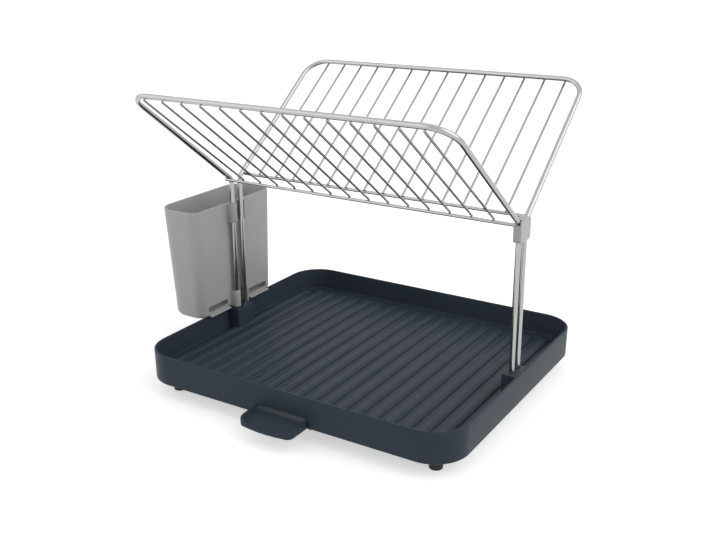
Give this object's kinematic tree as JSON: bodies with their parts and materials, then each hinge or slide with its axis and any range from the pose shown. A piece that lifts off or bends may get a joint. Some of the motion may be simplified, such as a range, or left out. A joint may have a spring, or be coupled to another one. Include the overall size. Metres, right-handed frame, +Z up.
{
  "type": "dish drainer",
  "caption": "Dish drainer: V-shaped steel wire plate rack on four legs in a ribbed draining tray with a pull-out spout and a hanging cutlery caddy.",
  "frame": {"origin": "on the table, under the middle of the drainer's overall box", "axes": "+Z up, +X to the right along the front side, where the spout is, +Y to the back; the caddy is on the -X side"},
  "size_m": [0.4557, 0.3854, 0.3522],
  "materials": {
    "tray": "dark slate grey moulded plastic with a fine satin grain",
    "feet": "matt black rubber",
    "steel": "polished stainless steel rod and wire",
    "clip": "light grey moulded plastic, satin",
    "caddy": "mid grey moulded plastic, satin"
  },
  "bodies": {
    "base": {"tray": "tray", "foot_front_left": "feet", "foot_front_right": "feet", "foot_back_left": "feet", "foot_back_right": "feet"},
    "spout": {"spout": "tray"},
    "rack": {"front_frame": "steel", "back_frame": "steel", "front_bar": "steel", "back_bar": "steel", "front_wire_01": "steel", "front_wire_02": "steel", "front_wire_03": "steel", "front_wire_04": "steel", "front_wire_05": "steel", "front_wire_06": "steel", "front_wire_07": "steel", "front_wire_08": "steel", "front_wire_09": "steel", "front_wire_10": "steel", "front_wire_11": "steel", "front_wire_12": "steel", "front_wire_13": "steel", "front_wire_14": "steel", "back_wire_01": "steel", "back_wire_02": "steel", "back_wire_03": "steel", "back_wire_04": "steel", "back_wire_05": "steel", "back_wire_06": "steel", "back_wire_07": "steel", "back_wire_08": "steel", "back_wire_09": "steel", "back_wire_10": "steel", "back_wire_11": "steel", "back_wire_12": "steel", "back_wire_13": "steel", "back_wire_14": "steel"},
    "clip": {"clip": "clip"},
    "caddy": {"caddy": "caddy"}
  },
  "joints": [
    {"name": "spout_slide", "type": "slide", "parent": "base", "child": "spout", "axis": [0, 1, 0], "range_m": [0, 0.028]},
    {"name": "rack_lift", "type": "slide", "parent": "base", "child": "rack", "axis": [0, 0, 1], "range_m": [0, 0.045]},
    {"name": "clip_pull", "type": "slide", "parent": "rack", "child": "clip", "axis": [1, 0, 0], "range_m": [0, 0.012]},
    {"name": "caddy_lift", "type": "slide", "parent": "rack", "child": "caddy", "axis": [0, 0, 1], "range_m": [0, 0.022]}
  ]
}
